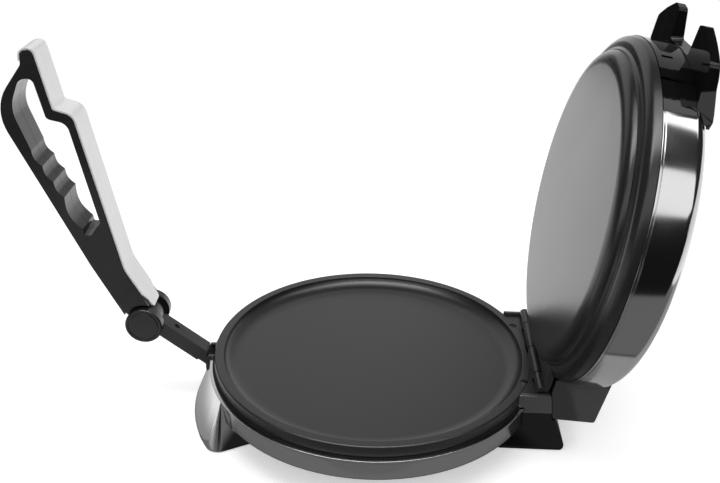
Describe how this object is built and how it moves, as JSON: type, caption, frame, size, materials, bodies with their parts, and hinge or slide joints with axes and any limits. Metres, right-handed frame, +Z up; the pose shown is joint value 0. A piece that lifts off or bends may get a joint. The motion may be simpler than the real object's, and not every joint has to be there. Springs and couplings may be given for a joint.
{
  "type": "lever press pancake maker",
  "caption": "Round countertop pancake maker: rimmed lower plate, hinged polished lid, and a tilting press arm with a folding open grip.",
  "frame": {"origin": "centre of the lower plate's cooking surface", "axes": "+Z up, square to the cooking surface; +X from the press arm towards the hinge, along the object; +Y across it, along the hinge pin"},
  "size_m": [0.5354, 0.289, 0.3578],
  "materials": {
    "cast_plate": "dark non-stick coat, satin",
    "heater_tube": "oxidised, matt",
    "plain_steel": "satin",
    "polished_steel": "polished",
    "moulded_black": "semi-gloss moulded",
    "gloss_black": "high gloss",
    "silver_strip": "brushed silver",
    "pad_rubber": "matt"
  },
  "bodies": {
    "base": {"lower_cooking_plate": "cast_plate", "lower_heating_element": "heater_tube", "lower_thermostat": "plain_steel", "lower_heat_shield": "plain_steel", "base_housing": "polished_steel", "base_inner_frame": "moulded_black", "base_bottom_cover": "moulded_black", "front_foot": "polished_steel", "rear_foot": "moulded_black", "rear_housing": "moulded_black", "front_pad_near": "pad_rubber", "front_pad_far": "pad_rubber", "rear_pad_near": "pad_rubber", "rear_pad_far": "pad_rubber", "hinge_pin": "plain_steel", "plate_screw_near": "plain_steel", "plate_screw_far": "plain_steel", "arm_bracket": "moulded_black", "arm_pivot_pin": "plain_steel", "cord_grommet": "pad_rubber"},
    "lid": {"upper_cooking_plate": "cast_plate", "upper_heating_element": "heater_tube", "upper_thermostat": "plain_steel", "upper_heat_shield": "plain_steel", "lid_inner_frame": "moulded_black", "lid_shell": "polished_steel", "lid_press_bracket": "gloss_black", "lid_rear_cover": "gloss_black"},
    "arm": {"press_arm": "moulded_black", "arm_screw": "plain_steel", "knuckle_pin": "plain_steel", "knuckle_cap_near": "moulded_black", "knuckle_cap_far": "moulded_black"},
    "handle": {"handle_near_cheek": "moulded_black", "handle_far_cheek": "moulded_black", "handle_trim": "silver_strip", "handle_screw_1": "plain_steel", "handle_screw_2": "plain_steel", "handle_screw_3": "plain_steel"}
  },
  "joints": [
    {"name": "lid_hinge", "type": "hinge", "parent": "base", "child": "lid", "pos_m": [0.1411, 0, 0.0128], "axis": [0, 1, 0], "range_deg": [-99.8, 0]},
    {"name": "arm_pivot", "type": "hinge", "parent": "base", "child": "arm", "pos_m": [-0.1443, 0, -0.0077], "axis": [0, 1, 0], "range_deg": [0, 33.8]},
    {"name": "handle_pivot", "type": "hinge", "parent": "arm", "child": "handle", "pos_m": [-0.19926, 0, 0.03402], "axis": [0, 1, 0], "range_deg": [0, 40]}
  ]
}
